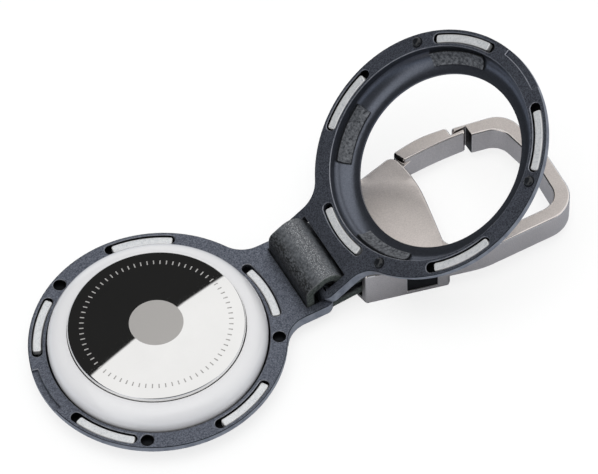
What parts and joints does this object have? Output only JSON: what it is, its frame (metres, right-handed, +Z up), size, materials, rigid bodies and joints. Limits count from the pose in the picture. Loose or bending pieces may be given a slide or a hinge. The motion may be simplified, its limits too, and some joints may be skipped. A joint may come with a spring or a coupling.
{
  "type": "tracker tag holder",
  "caption": "Round holder for a tracker tag: two magnetic rings hinged on a leather strap fold shut round the tag, with a small carabiner to clip it on.",
  "frame": {"origin": "on the table under the middle of the opened holder", "axes": "+X from the tray ring to the carabiner's loop, +Y towards the gate, +Z up"},
  "size_m": [0.0834, 0.0374, 0.0288],
  "materials": {
    "carabiner_metal": "warm satin blasted metal",
    "ring_coat": "fine matt slate coating",
    "magnet_metal": "plated magnet",
    "strap_leather": "black grained leather",
    "pin_steel": "plain steel",
    "window_black": "black",
    "peg_black": "glossy black",
    "pad_felt": "rough dark grey",
    "tag_white": "glossy white",
    "tag_steel": "polished steel",
    "tag_inside": "black",
    "cell_steel": "nickel plated",
    "contact_brass": "gold plated",
    "board_green": "solder mask"
  },
  "bodies": {
    "carabiner": {"carabiner_frame": "carabiner_metal", "base_plate": "carabiner_metal", "strap_pin": "pin_steel", "window_plug": "window_black", "gate_pin": "pin_steel", "gate_spring": "pin_steel"},
    "gate": {"gate": "carabiner_metal"},
    "strap": {"strap": "strap_leather"},
    "tray": {"tray_ring": "ring_coat", "tray_magnet_1": "magnet_metal", "tray_magnet_2": "magnet_metal", "tray_magnet_3": "magnet_metal", "tray_magnet_4": "magnet_metal", "tray_magnet_5": "magnet_metal"},
    "cover": {"cover_ring": "ring_coat", "cover_magnet_1": "magnet_metal", "cover_magnet_2": "magnet_metal", "cover_magnet_3": "magnet_metal", "cover_magnet_4": "magnet_metal", "cover_magnet_5": "magnet_metal", "locating_peg_1": "peg_black", "locating_peg_2": "peg_black", "locating_peg_3": "peg_black", "grip_pad_1": "pad_felt", "grip_pad_2": "pad_felt", "grip_pad_3": "pad_felt", "grip_pad_4": "pad_felt"},
    "tag": {"tag_housing": "tag_white", "tag_carrier": "tag_inside", "coin_cell": "cell_steel", "battery_contacts": "contact_brass", "circuit_board": "board_green", "speaker_magnet": "magnet_metal", "voice_coil": "contact_brass"},
    "battery_cover": {"battery_cover": "tag_steel"}
  },
  "joints": [
    {"name": "gate_swing", "type": "hinge", "parent": "carabiner", "child": "gate", "pos_m": [0.01958, 0.0085, 0.0043], "axis": [0, 0, -1], "range_deg": [0, 25], "stiffness_Nm_per_rad": 0.008, "springref_deg": -20.05},
    {"name": "strap_swing", "type": "hinge", "parent": "carabiner", "child": "strap", "pos_m": [0.00968, 0, 0.00377], "axis": [0, 1, 0], "range_deg": [-15, 0]},
    {"name": "tray_fold", "type": "hinge", "parent": "strap", "child": "tray", "pos_m": [0.00158, 0, 0.0034], "axis": [0, 1, 0], "range_deg": [-80, 0]},
    {"name": "cover_fold", "type": "hinge", "parent": "strap", "child": "cover", "pos_m": [0.00158, 0, 0.0053], "axis": [0, 1, 0], "range_deg": [-148, 0]},
    {"name": "tag_lift", "type": "slide", "parent": "tray", "child": "tag", "axis": [0, 0, 1], "range_m": [0, 0.012]},
    {"name": "battery_cover_twist", "type": "hinge", "parent": "tag", "child": "battery_cover", "pos_m": [-0.02292, 0, 0.0073], "axis": [0, 0, 1], "range_deg": [0, 25]}
  ]
}
